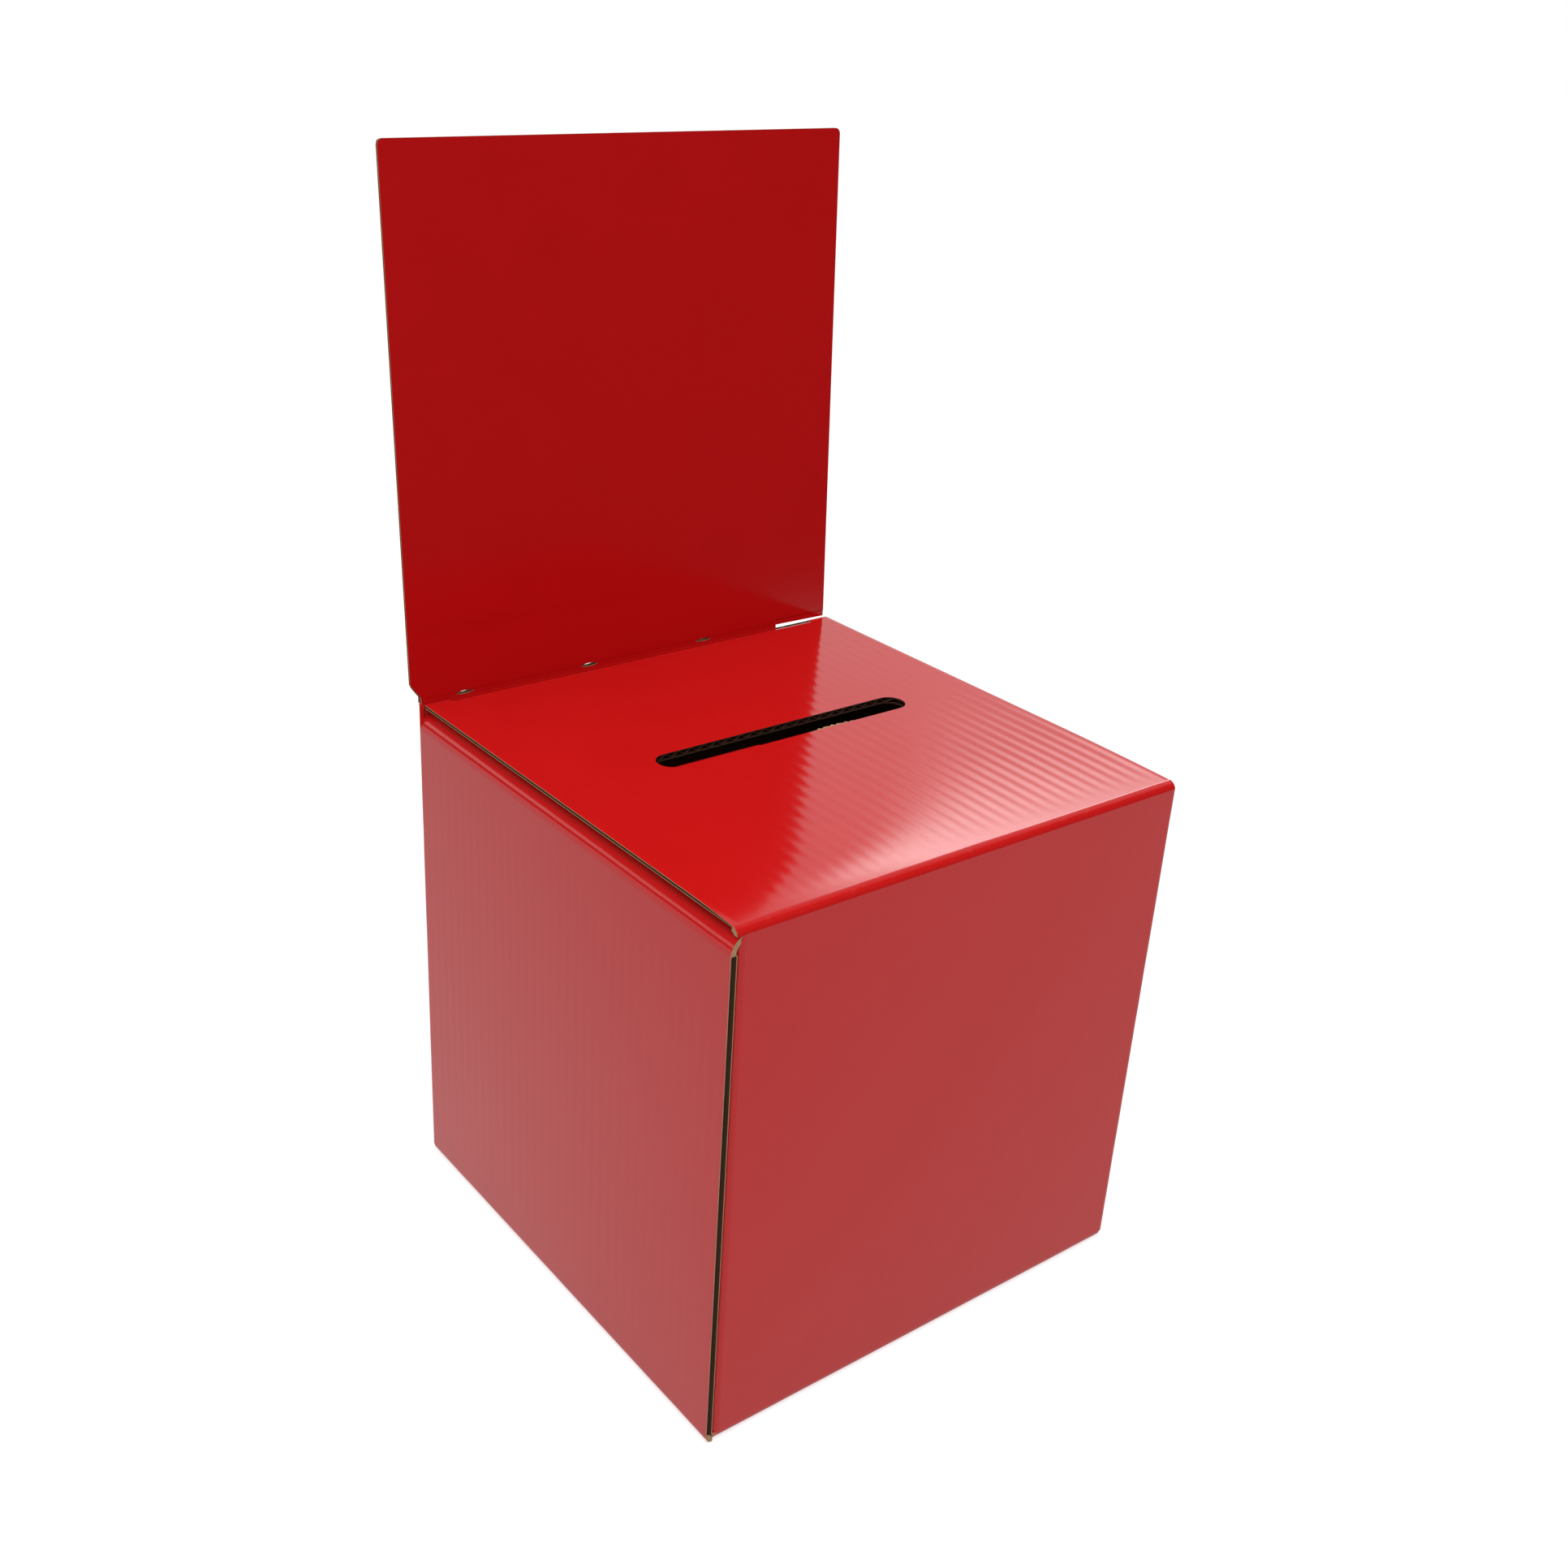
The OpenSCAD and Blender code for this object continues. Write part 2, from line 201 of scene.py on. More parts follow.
leftGloss = addNode(tree, "ShaderNodeMath", {0: leftGloss.outputs[0], 1: leftFront.outputs[0]}, operation="MULTIPLY")
behindFront = addNode(tree, "ShaderNodeMath", {0: place.outputs["Y"], 1: -0.118}, operation="GREATER_THAN")
floorGloss = addNode(tree, "ShaderNodeMix", {
    "Factor": behindFront.outputs[0], "A": nearFront.outputs[0], "B": leftGloss.outputs[0]})
matt = addNode(tree, "ShaderNodeBsdfDiffuse", {"Color": (*[studioValues["floorTone"]] * 3, 1)})
glow = addNode(tree, "ShaderNodeEmission", {"Strength": studioValues["floorWhite"]})
shown = addNode(tree, "ShaderNodeAddShader", {0: matt.outputs[0], 1: glow.outputs[0]})
mirrored = addNode(tree, "ShaderNodeEmission", {"Strength": floorGloss.outputs[0]})
clearRay = addNode(tree, "ShaderNodeMath", {
    0: rayKind.outputs["Is Camera Ray"], 1: rayKind.outputs["Is Transmission Ray"]}, operation="MAXIMUM")
lower = addNode(tree, "ShaderNodeMixShader", {
    0: rayKind.outputs["Is Glossy Ray"], 1: matt.outputs[0], 2: mirrored.outputs[0]})
upper = addNode(tree, "ShaderNodeMixShader", {0: clearRay.outputs[0], 1: lower.outputs[0], 2: shown.outputs[0]})
addNode(tree, "ShaderNodeOutputMaterial", {"Surface": upper.outputs[0]})
floorMesh.materials.append(floorMaterial)
print("camera and studio set")

# materials
printValues = {
    "outside": ("#d71a1a", "#d11616"),      # red offset ink under gloss varnish, and where it lies thicker
    "inside": ("#c10e10", "#bb0c0e"),       # the header's front is the board's inside, printed in a second run; its darker red is painted shade for the header's front
    "scuff": "#dd7c74",        # varnish rubbed off along the edges
    "crack": "#d8b49a",        # paper showing in cracked varnish
    "mottleSize": 28.0,        # mm
    "fibreSize": 0.9,          # mm, paper fibres felt through the varnish
    "waveSize": 55.0,          # mm, slow unevenness of a glued liner
}


def glossPrint(name, centre, half, wear, inks="outside"):
    # white-top liner printed red and varnished: clear reflections, softened by the paper under the varnish
    material, tree = newMaterial(name)
    spot = addNode(tree, "ShaderNodeTexCoord").outputs["Object"]
    mottle = addNode(tree, "ShaderNodeTexNoise", {
        "Vector": spot, "Scale": 1000 / printValues["mottleSize"], "Detail": 3.0})
    ink = addNode(tree, "ShaderNodeMix", {
        0: mottle.outputs["Fac"], 6: linear(printValues[inks][0]), 7: linear(printValues[inks][1])}, data_type="RGBA")
    # closeness to an edge of the piece: the middle one of the three distances from the faces
    away = addNode(tree, "ShaderNodeVectorMath", {0: spot, 1: tuple(c * mm for c in centre)}, operation="SUBTRACT")
    away = addNode(tree, "ShaderNodeVectorMath", {0: away.outputs[0]}, operation="ABSOLUTE")
    away = addNode(tree, "ShaderNodeVectorMath", {0: away.outputs[0], 1: tuple(h * mm for h in half)},
                   operation="SUBTRACT")
    side = addNode(tree, "ShaderNodeSeparateXYZ", {0: away.outputs[0]})
    low = addNode(tree, "ShaderNodeMath", {0: side.outputs[0], 1: side.outputs[1]}, operation="MINIMUM")
    high = addNode(tree, "ShaderNodeMath", {0: side.outputs[0], 1: side.outputs[1]}, operation="MAXIMUM")
    high = addNode(tree, "ShaderNodeMath", {0: high.outputs[0], 1: side.outputs[2]}, operation="MINIMUM")
    second = addNode(tree, "ShaderNodeMath", {0: low.outputs[0], 1: high.outputs[0]}, operation="MAXIMUM")
    near = addNode(tree, "ShaderNodeMapRange", {
        "Value": second.outputs[0], "From Min": -3.2 * mm, "From Max": -0.3 * mm, "To Min": 0.0, "To Max": 1.0},
        interpolation_type="SMOOTHSTEP")
    breakUp = addNode(tree, "ShaderNodeTexNoise", {"Vector": spot, "Scale": 240.0, "Detail": 6.0, "Roughness": 0.7})
    broken = addNode(tree, "ShaderNodeMapRange", {
        "Value": breakUp.outputs["Fac"], "From Min": 0.62 - 0.16 * wear, "From Max": 0.74 - 0.10 * wear})
    rubbed = addNode(tree, "ShaderNodeMath", {0: near.outputs[0], 1: broken.outputs[0]}, operation="MULTIPLY")
    rubbed = addNode(tree, "ShaderNodeMath", {0: rubbed.outputs[0], 1: 0.6 * wear}, operation="MULTIPLY")
    worn = addNode(tree, "ShaderNodeMix", {
        0: rubbed.outputs[0], 6: ink.outputs[2], 7: linear(printValues["scuff"])}, data_type="RGBA")
    cracks = addNode(tree, "ShaderNodeTexVoronoi", {"Vector": spot, "Scale": 900.0}, feature="DISTANCE_TO_EDGE")
    cracked = addNode(tree, "ShaderNodeMapRange", {
        "Value": cracks.outputs["Distance"], "From Min": 0.0, "From Max": 0.05, "To Min": 1.0, "To Max": 0.0})
    cracked = addNode(tree, "ShaderNodeMath", {0: cracked.outputs[0], 1: rubbed.outputs[0]}, operation="MULTIPLY")
    colour = addNode(tree, "ShaderNodeMix", {
        0: cracked.outputs[0], 6: worn.outputs[2], 7: linear(printValues["crack"])}, data_type="RGBA")
    # slow waves of the liner, then fibres under the varnish
    wave = addNode(tree, "ShaderNodeTexNoise", {
        "Vector": spot, "Scale": 1000 / printValues["waveSize"], "Detail": 1.0})
    waved = addNode(tree, "ShaderNodeBump", {"Height": wave.outputs["Fac"], "Distance": 0.16 * mm, "Strength": 1.0})
    fibre = addNode(tree, "ShaderNodeTexNoise", {
        "Vector": spot, "Scale": 1000 / printValues["fibreSize"], "Detail": 2.0})
    felt = addNode(tree, "ShaderNodeBump", {
        "Height": fibre.outputs["Fac"], "Distance": 0.006 * mm, "Strength": 1.0, "Normal": waved.outputs[0]})
    rough = addNode(tree, "ShaderNodeMapRange", {
        "Value": breakUp.outputs["Fac"], "From Min": 0.3, "From Max": 0.7, "To Min": 0.10, "To Max": 0.13})
    rough = addNode(tree, "ShaderNodeMath", {0: rough.outputs[0], 1: rubbed.outputs[0]}, operation="ADD")
    surface = addNode(tree, "ShaderNodeBsdfPrincipled", {
        "Base Color": colour.outputs[2], "Roughness": rough.outputs[0], "IOR": 1.5, "Normal": felt.outputs[0]})
    addNode(tree, "ShaderNodeOutputMaterial", {"Surface": surface.outputs[0]})
    return material


def plainPaper(name, tone, fleck, fibreLength, rough):
    # unbleached kraft: matt, streaked by long fibres, with darker flecks
    material, tree = newMaterial(name)
    spot = addNode(tree, "ShaderNodeTexCoord").outputs["Object"]
    stretched = addNode(tree, "ShaderNodeMapping", {"Vector": spot, "Scale": (1.0, 1.0, 0.22)})
    fibres = addNode(tree, "ShaderNodeTexNoise", {
        "Vector": stretched.outputs[0], "Scale": 1000 / fibreLength, "Detail": 5.0, "Roughness": 0.65})
    flecks = addNode(tree, "ShaderNodeTexNoise", {"Vector": spot, "Scale": 420.0, "Detail": 3.0})
    dark = addNode(tree, "ShaderNodeMapRange", {
        "Value": flecks.outputs["Fac"], "From Min": 0.58, "From Max": 0.75, "To Min": 0.0, "To Max": 0.5})
    streak = addNode(tree, "ShaderNodeMapRange", {
        "Value": fibres.outputs["Fac"], "From Min": 0.25, "From Max": 0.75, "To Min": 0.0, "To Max": 0.55})
    factor = addNode(tree, "ShaderNodeMath", {0: dark.outputs[0], 1: streak.outputs[0]}, operation="MAXIMUM")
    colour = addNode(tree, "ShaderNodeMix", {0: factor.outputs[0], 6: linear(tone), 7: linear(fleck)},
                     data_type="RGBA")
    bump = addNode(tree, "ShaderNodeBump", {
        "Height": fibres.outputs["Fac"], "Distance": 0.05 * mm, "Strength": 0.8})
    surface = addNode(tree, "ShaderNodeBsdfPrincipled", {
        "Base Color": colour.outputs[2], "Roughness": rough, "IOR": 1.5, "Normal": bump.outputs[0]})
    addNode(tree, "ShaderNodeOutputMaterial", {"Surface": surface.outputs[0]})
    return material


boxPrint = glossPrint("glossRedPrintBox", (0, 0, 117.5), (114.5, 114.5, 117.5), 0.25)
creasePrint = glossPrint("glossRedPrintCrease", (0, 0, 117.5), (114.5, 114.5, 117.5), 0.35)
headerBack = glossPrint("glossRedPrintHeaderBack", (-4, 118.8, 350.5), (114.5, 7.5, 114.5), 0.25)
# the header's front, its crease and its lip take the darker inside red: painted shade
headerPrintShaded = glossPrint("glossRedPrintHeaderShaded", (-4, 118.8, 350.5), (114.5, 7.5, 114.5), 0.05, inks="inside")
kraftLiner = plainPaper("kraftLiner", "#b08a60", "#8a6642", 1.6, 0.88)
# painted shade: the fluting paper is coloured dark brown, darker than kraft fluting, for the shade in the flute
# hollows and cut edges
kraftFluteShaded = plainPaper("kraftFlutingShaded", "#472c17", "#2f1b0d", 0.9, 0.92)
kraftCut = plainPaper("kraftCutEdge", "#c8a37a", "#8a6038", 0.8, 0.94)
kraftTorn = plainPaper("tornKraftFibres", "#c4a27a", "#94704a", 0.7, 0.95)
print("materials made")

# board: three layers built by Geometry Nodes on a flat sheet
boardValues = {
    "thickness": 3.0,
    "pitch": 6.47,             # B-flute, 47 flutes a foot
    "liner": 0.35,
    "medium": 0.30,
    "bite": 0.02,              # the flute tips sit in the glue this deep
    "washboard": 0.058,        # how far the printed liner sinks between two flute tips
    "samples": 8,              # steps in one flute
}


def buildBoardTree():
    tree = bpy.data.node_groups.new("corrugatedBoard", "GeometryNodeTree")
    face = tree.interface
    face.new_socket("Sheet", in_out="INPUT", socket_type="NodeSocketGeometry")
    for name, value in (("Thickness", boardValues["thickness"]), ("Flute pitch", boardValues["pitch"]),
                        ("Liner", boardValues["liner"]), ("Medium", boardValues["medium"]),
                        ("Glue bite", boardValues["bite"]), ("Washboard depth", boardValues["washboard"])):
        face.new_socket(name, in_out="INPUT", socket_type="NodeSocketFloat").default_value = value * mm
    for name in ("Outer face", "Inner face", "Liner paper", "Fluting paper"):
        face.new_socket(name, in_out="INPUT", socket_type="NodeSocketMaterial")
    face.new_socket("Board", in_out="OUTPUT", socket_type="NodeSocketGeometry")
    given = addNode(tree, "NodeGroupInput").outputs
    across = addNode(tree, "ShaderNodeSeparateXYZ", {0: addNode(tree, "GeometryNodeInputPosition").outputs[0]})
    turns = addNode(tree, "ShaderNodeMath", {0: across.outputs["X"], 1: given["Flute pitch"]}, operation="DIVIDE")
    angle = addNode(tree, "ShaderNodeMath", {0: turns.outputs[0], 1: math.tau}, operation="MULTIPLY")
    sine = addNode(tree, "ShaderNodeMath", {0: angle.outputs[0]}, operation="SINE")
    # half the height that is left for the fluting's middle line
    room = addNode(tree, "ShaderNodeMath", {0: given["Liner"], 1: -2.0, 2: given["Thickness"]},
                   operation="MULTIPLY_ADD")
    room = addNode(tree, "ShaderNodeMath", {0: room.outputs[0], 1: given["Medium"]}, operation="SUBTRACT")
    swing = addNode(tree, "ShaderNodeMath", {0: room.outputs[0], 1: 0.5, 2: given["Glue bite"]},
                    operation="MULTIPLY_ADD")
    middle = addNode(tree, "ShaderNodeMath", {0: given["Thickness"], 1: given["Medium"]}, operation="ADD")
    middle = addNode(tree, "ShaderNodeMath", {0: middle.outputs[0], 1: -0.5}, operation="MULTIPLY")
    fluteLow = addNode(tree, "ShaderNodeMath", {0: sine.outputs[0], 1: swing.outputs[0], 2: middle.outputs[0]},
                       operation="MULTIPLY_ADD")
    minusThick = addNode(tree, "ShaderNodeMath", {0: given["Thickness"], 1: -1.0}, operation="MULTIPLY")
    minusLiner = addNode(tree, "ShaderNodeMath", {0: given["Liner"], 1: -1.0}, operation="MULTIPLY")
    pressed = addNode(tree, "GeometryNodeInputNamedAttribute", {"Name": "press"}, data_type="FLOAT")
    sink = addNode(tree, "ShaderNodeMath", {0: sine.outputs[0], 1: -1.0}, operation="ADD")
    sink = addNode(tree, "ShaderNodeMath", {0: sink.outputs[0], 1: 0.5}, operation="MULTIPLY")
    sink = addNode(tree, "ShaderNodeMath", {0: sink.outputs[0], 1: given["Washboard depth"]}, operation="MULTIPLY")
    sink = addNode(tree, "ShaderNodeMath", {0: sink.outputs[0], 1: pressed.outputs[0]}, operation="MULTIPLY")
    layers = []
    for low, thick, paper in ((minusLiner.outputs[0], given["Liner"], given["Liner paper"]),
                              (fluteLow.outputs[0], given["Medium"], given["Fluting paper"]),
                              (minusThick.outputs[0], given["Liner"], given["Liner paper"])):
        lift = addNode(tree, "ShaderNodeCombineXYZ", {"Z": low})
        base = addNode(tree, "GeometryNodeSetPosition", {"Geometry": given["Sheet"], "Offset": lift.outputs[0]})
        solid = addNode(tree, "GeometryNodeExtrudeMesh", {
            "Mesh": base.outputs[0], "Offset": (0, 0, 1), "Offset Scale": thick, "Individual": False}, mode="FACES")
        under = addNode(tree, "GeometryNodeFlipFaces", {0: base.outputs[0]})
        top, bottom = solid.outputs["Mesh"], under.outputs[0]
        if not layers:  # the printed liner sinks between the flute tips
            drop = addNode(tree, "ShaderNodeCombineXYZ", {"Z": sink.outputs[0]})
            top = addNode(tree, "GeometryNodeStoreNamedAttribute", {
                "Geometry": top, "Name": "outerFace", "Value": solid.outputs["Top"]},
                data_type="BOOLEAN", domain="FACE").outputs[0]
            top = addNode(tree, "GeometryNodeSetPosition", {
                "Geometry": top, "Selection": solid.outputs["Top"], "Offset": drop.outputs[0]}).outputs[0]
        if len(layers) == 2:
            bottom = addNode(tree, "GeometryNodeStoreNamedAttribute", {
                "Geometry": bottom, "Name": "innerFace", "Value": True},
                data_type="BOOLEAN", domain="FACE").outputs[0]
        both = addNode(tree, "GeometryNodeJoinGeometry", {0: [bottom, top]})
        closed = addNode(tree, "GeometryNodeMergeByDistance", {0: both.outputs[0], "Distance": 1e-7})
        layers.append(addNode(tree, "GeometryNodeSetMaterial", {
            "Geometry": closed.outputs[0], "Material": paper}).outputs[0])
    board = addNode(tree, "GeometryNodeJoinGeometry", {0: layers})
    board = addNode(tree, "GeometryNodeRealizeInstances", {0: board.outputs[0]})
    for name, paper in (("outerFace", given["Outer face"]), ("innerFace", given["Inner face"])):
        chosen = addNode(tree, "GeometryNodeInputNamedAttribute", {"Name": name}, data_type="BOOLEAN")
        board = addNode(tree, "GeometryNodeSetMaterial", {
            "Geometry": board.outputs[0], "Selection": chosen.outputs[0], "Material": paper})
    addNode(tree, "NodeGroupOutput", {0: board.outputs[0]})
    return tree


def heightAt(edge, u):
    (u0, v0), (u1, v1) = edge
    return v0 + (v1 - v0) * (u - u0) / (u1 - u0)


def flatSheet(outline, holes=(), step=None, rows=()):
    # cuts an outline with holes into narrow strips across the flutes; u runs across them, v along them
    step = step or boardValues["pitch"] / boardValues["samples"]
    rings = [list(outline)] + [list(hole) for hole in holes]
    edges = [tuple(sorted((a, b))) for ring in rings for a, b in zip(ring, ring[1:] + ring[:1])
             if abs(a[0] - b[0]) > 1e-5]
    corners = np.array(sorted({round(float(p[0]), 5) for ring in rings for p in ring}))
    corners = corners[np.r_[True, np.diff(corners) > 1e-4]]
    between = [k * step for k in range(math.ceil(corners[0] / step), math.floor(corners[-1] / step) + 1)]
    cuts = sorted([*corners] + [u for u in between if np.abs(corners - u).min() > 0.2 * step])
    marks, strips = [set() for _ in cuts], []
    for k, (u0, u1) in enumerate(zip(cuts, cuts[1:])):
        middle = (u0 + u1) / 2
        crossed = sorted((e for e in edges if e[0][0] < middle < e[1][0]), key=lambda e: heightAt(e, middle))
        for low, high in zip(crossed[::2], crossed[1::2]):
            bottom = (heightAt(low, u0), heightAt(low, u1))
            top = (heightAt(high, u0), heightAt(high, u1))
            inner = [(r, r) for r in rows if max(bottom) + 0.02 < r < min(top) - 0.02]
            bounds = [(round(a, 4), round(b, 4)) for a, b in [bottom, *inner, top]]
            strips.append((k, bounds))
            for left, right in bounds:
                marks[k].add(left)
                marks[k + 1].add(right)
    points, index, faces = [], {}, []
    for k, bounds in strips:
        for (left0, right0), (left1, right1) in zip(bounds, bounds[1:]):
            ring = [(k + 1, v) for v in sorted(marks[k + 1]) if right0 <= v <= right1]
            ring += [(k, v) for v in sorted(marks[k], reverse=True) if left0 <= v <= left1]
            for key in ring:
                if key not in index:
                    index[key] = len(points)
                    points.append((cuts[key[0]], key[1]))
            ring = list(dict.fromkeys(index[key] for key in ring))
            if len(ring) > 2:
                faces.append(ring)
    return np.array(points), faces


def link(name, mesh):
    obj = bpy.data.objects.new(name, mesh)
    bpy.context.scene.collection.objects.link(obj)
    return obj


def settle(obj, sharp=33):
    # faces outwards, smooth along a bend and sharp at a cut
    mesh = obj.data
    mesh.calc_loop_triangles()
    co = np.array([v.co for v in mesh.vertices])
    tris = np.array([t.vertices for t in mesh.loop_triangles])
    a, b, c = co[tris[:, 0]], co[tris[:, 1]], co[tris[:, 2]]
    if (np.cross(a, b) * c).sum() < 0:
        mesh.flip_normals()
    mesh.shade_smooth()
    mesh.set_sharp_from_angle(angle=math.radians(sharp))
    for name in ("press", "outerFace", "innerFace"):
        if name in mesh.attributes:
            mesh.attributes.remove(mesh.attributes[name])
    mesh.validate()
    return obj


def bake(obj, tree, values):
    # runs a node tree on the object and keeps the result as a plain mesh
    modifier = obj.modifiers.new("nodes", "NODES")
    modifier.node_group = tree
    for item in tree.interface.items_tree:
        if item.item_type == "SOCKET" and item.in_out == "INPUT" and item.name in values:
            modifier[item.identifier] = values[item.name]
    graph = bpy.context.evaluated_depsgraph_get()
    mesh = bpy.data.meshes.new_from_object(obj.evaluated_get(graph), depsgraph=graph)
    obj.modifiers.clear()
    obj.data = mesh
    return obj


boardTree = buildBoardTree()


def repaint(obj, old, new, chosen):
    # gives the faces of one material whose centre (in mm) passes the test another one
    slots = list(obj.data.materials)
    if new not in slots:
        obj.data.materials.append(new)
        slots.append(new)
    for polygon in obj.data.polygons:
        if slots[polygon.material_index] == old and chosen(polygon.center / mm):
            polygon.material_index = slots.index(new)


def makeBoard(name, outline, place, holes=(), rows=(), press=None, outer=boxPrint, inner=kraftLiner, shift=0.0):
    # place turns (u, v, w) in mm into the row frame; w is 0 on the outer face and negative inwards
    moved = [(u + shift, v) for u, v in outline]
    points, faces = flatSheet(moved, [[(u + shift, v) for u, v in hole] for hole in holes], rows=rows)
    mesh = bpy.data.meshes.new(name)
    mesh.from_pydata([(u * mm, v * mm, 0) for u, v in points], [], faces)
    strength = mesh.attributes.new("press", "FLOAT", "POINT")
    amount = np.ones(len(points)) if press is None else press(points[:, 0] - shift, points[:, 1])
    strength.data.foreach_set("value", np.asarray(amount, dtype=np.float32))
    obj = bake(link(name, mesh), boardTree, {
        "Outer face": outer, "Inner face": inner, "Liner paper": kraftCut, "Fluting paper": kraftFluteShaded})
    co = np.array([v.co for v in obj.data.vertices]) / mm
    x, y, z = place(co[:, 0] - shift, co[:, 1], co[:, 2])
    moved = np.stack([x + 0 * co[:, 0], y + 0 * co[:, 0], z + 0 * co[:, 0]], axis=1) * mm
    obj.data.vertices.foreach_set("co", moved.ravel())
    obj.data.update()
    return settle(obj)


def makeBend(name, outline, outerPlace, innerPlace, holes=(), rows=(), step=3.0, outer=creasePrint):
    # a closed skin between two surfaces: u runs along the crease and v over it
    points, faces = flatSheet(outline, holes, step=step, rows=rows)
    count = len(points)
    u, v = points[:, 0], points[:, 1]
    co = np.concatenate([np.stack(np.broadcast_arrays(*outerPlace(u, v)), axis=1),
                         np.stack(np.broadcast_arrays(*innerPlace(u, v)), axis=1)]) * mm
    seen = {}
    for face in faces:
        for a, b in zip(face, face[1:] + face[:1]):
            seen[(a, b)] = True
    sides = [(b, a, a + count, b + count) for a, b in seen if (b, a) not in seen]
    mesh = bpy.data.meshes.new(name)
    mesh.from_pydata(co.tolist(), [], faces + [[i + count for i in reversed(f)] for f in faces] + sides)
    mesh.materials.append(outer)
    mesh.materials.append(kraftCut)
    for polygon in mesh.polygons:
        polygon.material_index = 0 if polygon.index < len(faces) else 1
    return settle(link(name, mesh))


def crushed(w, amount):
    # a cut edge pressed by the die: the liners keep their thickness and the fluting between them gives way
    liner = boardValues["liner"]
    return w + amount * np.clip(-w - liner, 0, boardValues["thickness"] - 2 * liner)


def fade(distance, reach=15.0):
    # washboard dies out this far from a crease, where the scoring rule pressed the board
    t = np.clip(distance / reach, 0, 1)
    return t * t * (3 - 2 * t)


def wobble(u, size, seed):
    # slow hand-folded unevenness along a crease
    return size * (np.sin(u / 17.0 + seed) + 0.6 * np.sin(u / 7.3 + 2.1 * seed) + 0.4 * np.sin(u / 3.1 + 0.7 * seed)) / 2


def boxOutline(u0, u1, v0, v1):
    return [(u0, v0), (u1, v0), (u1, v1), (u0, v1)]


def finishPiece(obj, body, replaced=None):
    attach(obj, body)
    if replaced:
        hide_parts(replaced)
    return obj


# walls of the tube
wallValues = {
    "half": 114.5, "board": 3.0, "low": 3.0, "frontTop": 230.9, "sideTop": 223.2, "backTop": 235.05,
    "roundTop": 231.2, "rawEdge": -114.1, "glueX": -111.3, "cutX": 80.5, "cutTop": 233.2,
    "rows": [9, 18, 40, 80, 120, 160, 200, 212, 219],
}
half, board, low = wallValues["half"], wallValues["board"], wallValues["low"]
inside = half - board
glueX = wallValues["glueX"]


def wallPress(start, end, top):
    return lambda u, v: 0.35 * fade(u - start, 5) * fade(end - u, 5) * fade(v - low, 12) * fade(top - v, 12)


frontWall = makeBoard(
    "frontWall", boxOutline(glueX + board, inside, low, wallValues["frontTop"]),
    lambda u, v, w: (u, -half - w, v), rows=wallValues["rows"],
    press=wallPress(glueX + board, inside, wallValues["frontTop"]), shift=1.3)
finishPiece(frontWall, "box", replaced="front_wall")
leftWall = makeBoard(
    "leftWall", boxOutline(-inside, -wallValues["rawEdge"], low, wallValues["sideTop"]),
    lambda u, v, w: (-half - w, -u, v), rows=wallValues["rows"],
    press=wallPress(-inside, 120, wallValues["sideTop"]), shift=0.4)
finishPiece(leftWall, "box", replaced="left_wall")
rightWall = makeBoard(
    "rightWall", boxOutline(-inside, inside, low, wallValues["sideTop"]),
    lambda u, v, w: (half + w, u, v), rows=wallValues["rows"],
    press=wallPress(-inside, inside, wallValues["sideTop"]), shift=2.2)
finishPiece(rightWall, "box", replaced="right_wall")
# its top drops below the lid beside the header's open cut
backWall = makeBoard(
    "backWall",
    [(-inside, low), (inside, low), (inside, wallValues["backTop"]), (-wallValues["cutX"], wallValues["backTop"]),
     (-wallValues["cutX"] - 0.4, wallValues["cutTop"]), (-inside, wallValues["cutTop"])],
    lambda u, v, w: (-u, half + w, v), rows=wallValues["rows"] + [228],
    press=wallPress(-inside, inside, wallValues["backTop"]), shift=0.9)
repaint(backWall, kraftLiner, boxPrint, lambda c: c.z > 229)  # the header's print runs down a little inside
finishPiece(backWall, "box", replaced="back_wall")

cornerValues = {"thickness": 2.3, "steps": 8, "unevenness": 0.08}


def cornerBend(name, centre, start, low, high, seed):
    # vertical crease of the tube, a quarter round from start degrees on
    thick = cornerValues["thickness"]

    def on(depth):
        def spot(u, v):
            radius = board - depth - (0 if depth else 1) * np.abs(wobble(u, cornerValues["unevenness"], seed))
            angle = np.radians(start + v)
            return centre[0] + radius * np.cos(angle), centre[1] + radius * np.sin(angle), u
        return spot
    rows = [90 * k / cornerValues["steps"] for k in range(1, cornerValues["steps"])]
    bend = makeBend(name, boxOutline(low, high, 0, 90), on(0), on(thick), rows=rows, step=6.0)
    repaint(bend, kraftCut, creasePrint, lambda c: c.z > wallValues["sideTop"])
    return finishPiece(bend, "box")


cornerBend("frontLeftCorner", (glueX + board, -inside), 180, low, wallValues["frontTop"], 1)
cornerBend("frontRightCorner", (inside, -inside), 270, low, wallValues["frontTop"], 2)
cornerBend("backRightCorner", (inside, inside), 0, low, wallValues["sideTop"] + board, 3)
cornerBend("backLeftCorner", (-inside, inside), 90, low, wallValues["backTop"], 4)

# glue flap behind the left wall's raw edge
glueValues = {"reach": 32.0, "inset": 16.0, "slope": 20.0, "x": glueX}
glueDrop = glueValues["reach"] * math.tan(math.radians(glueValues["slope"]))
glueLow, glueHigh = low + glueValues["inset"], 228.2 - glueValues["inset"]
glueFlap = makeBoard(
    "glueFlap",
    [(inside - glueValues["reach"], glueLow + glueDrop), (inside, glueLow), (inside, glueHigh),
     (inside - glueValues["reach"], glueHigh - glueDrop)],
    lambda u, v, w: (glueX - w, -u, v), outer=boxPrint, shift=1.1)
finishPiece(glueFlap, "box", "glue_flap")
print("tube made")

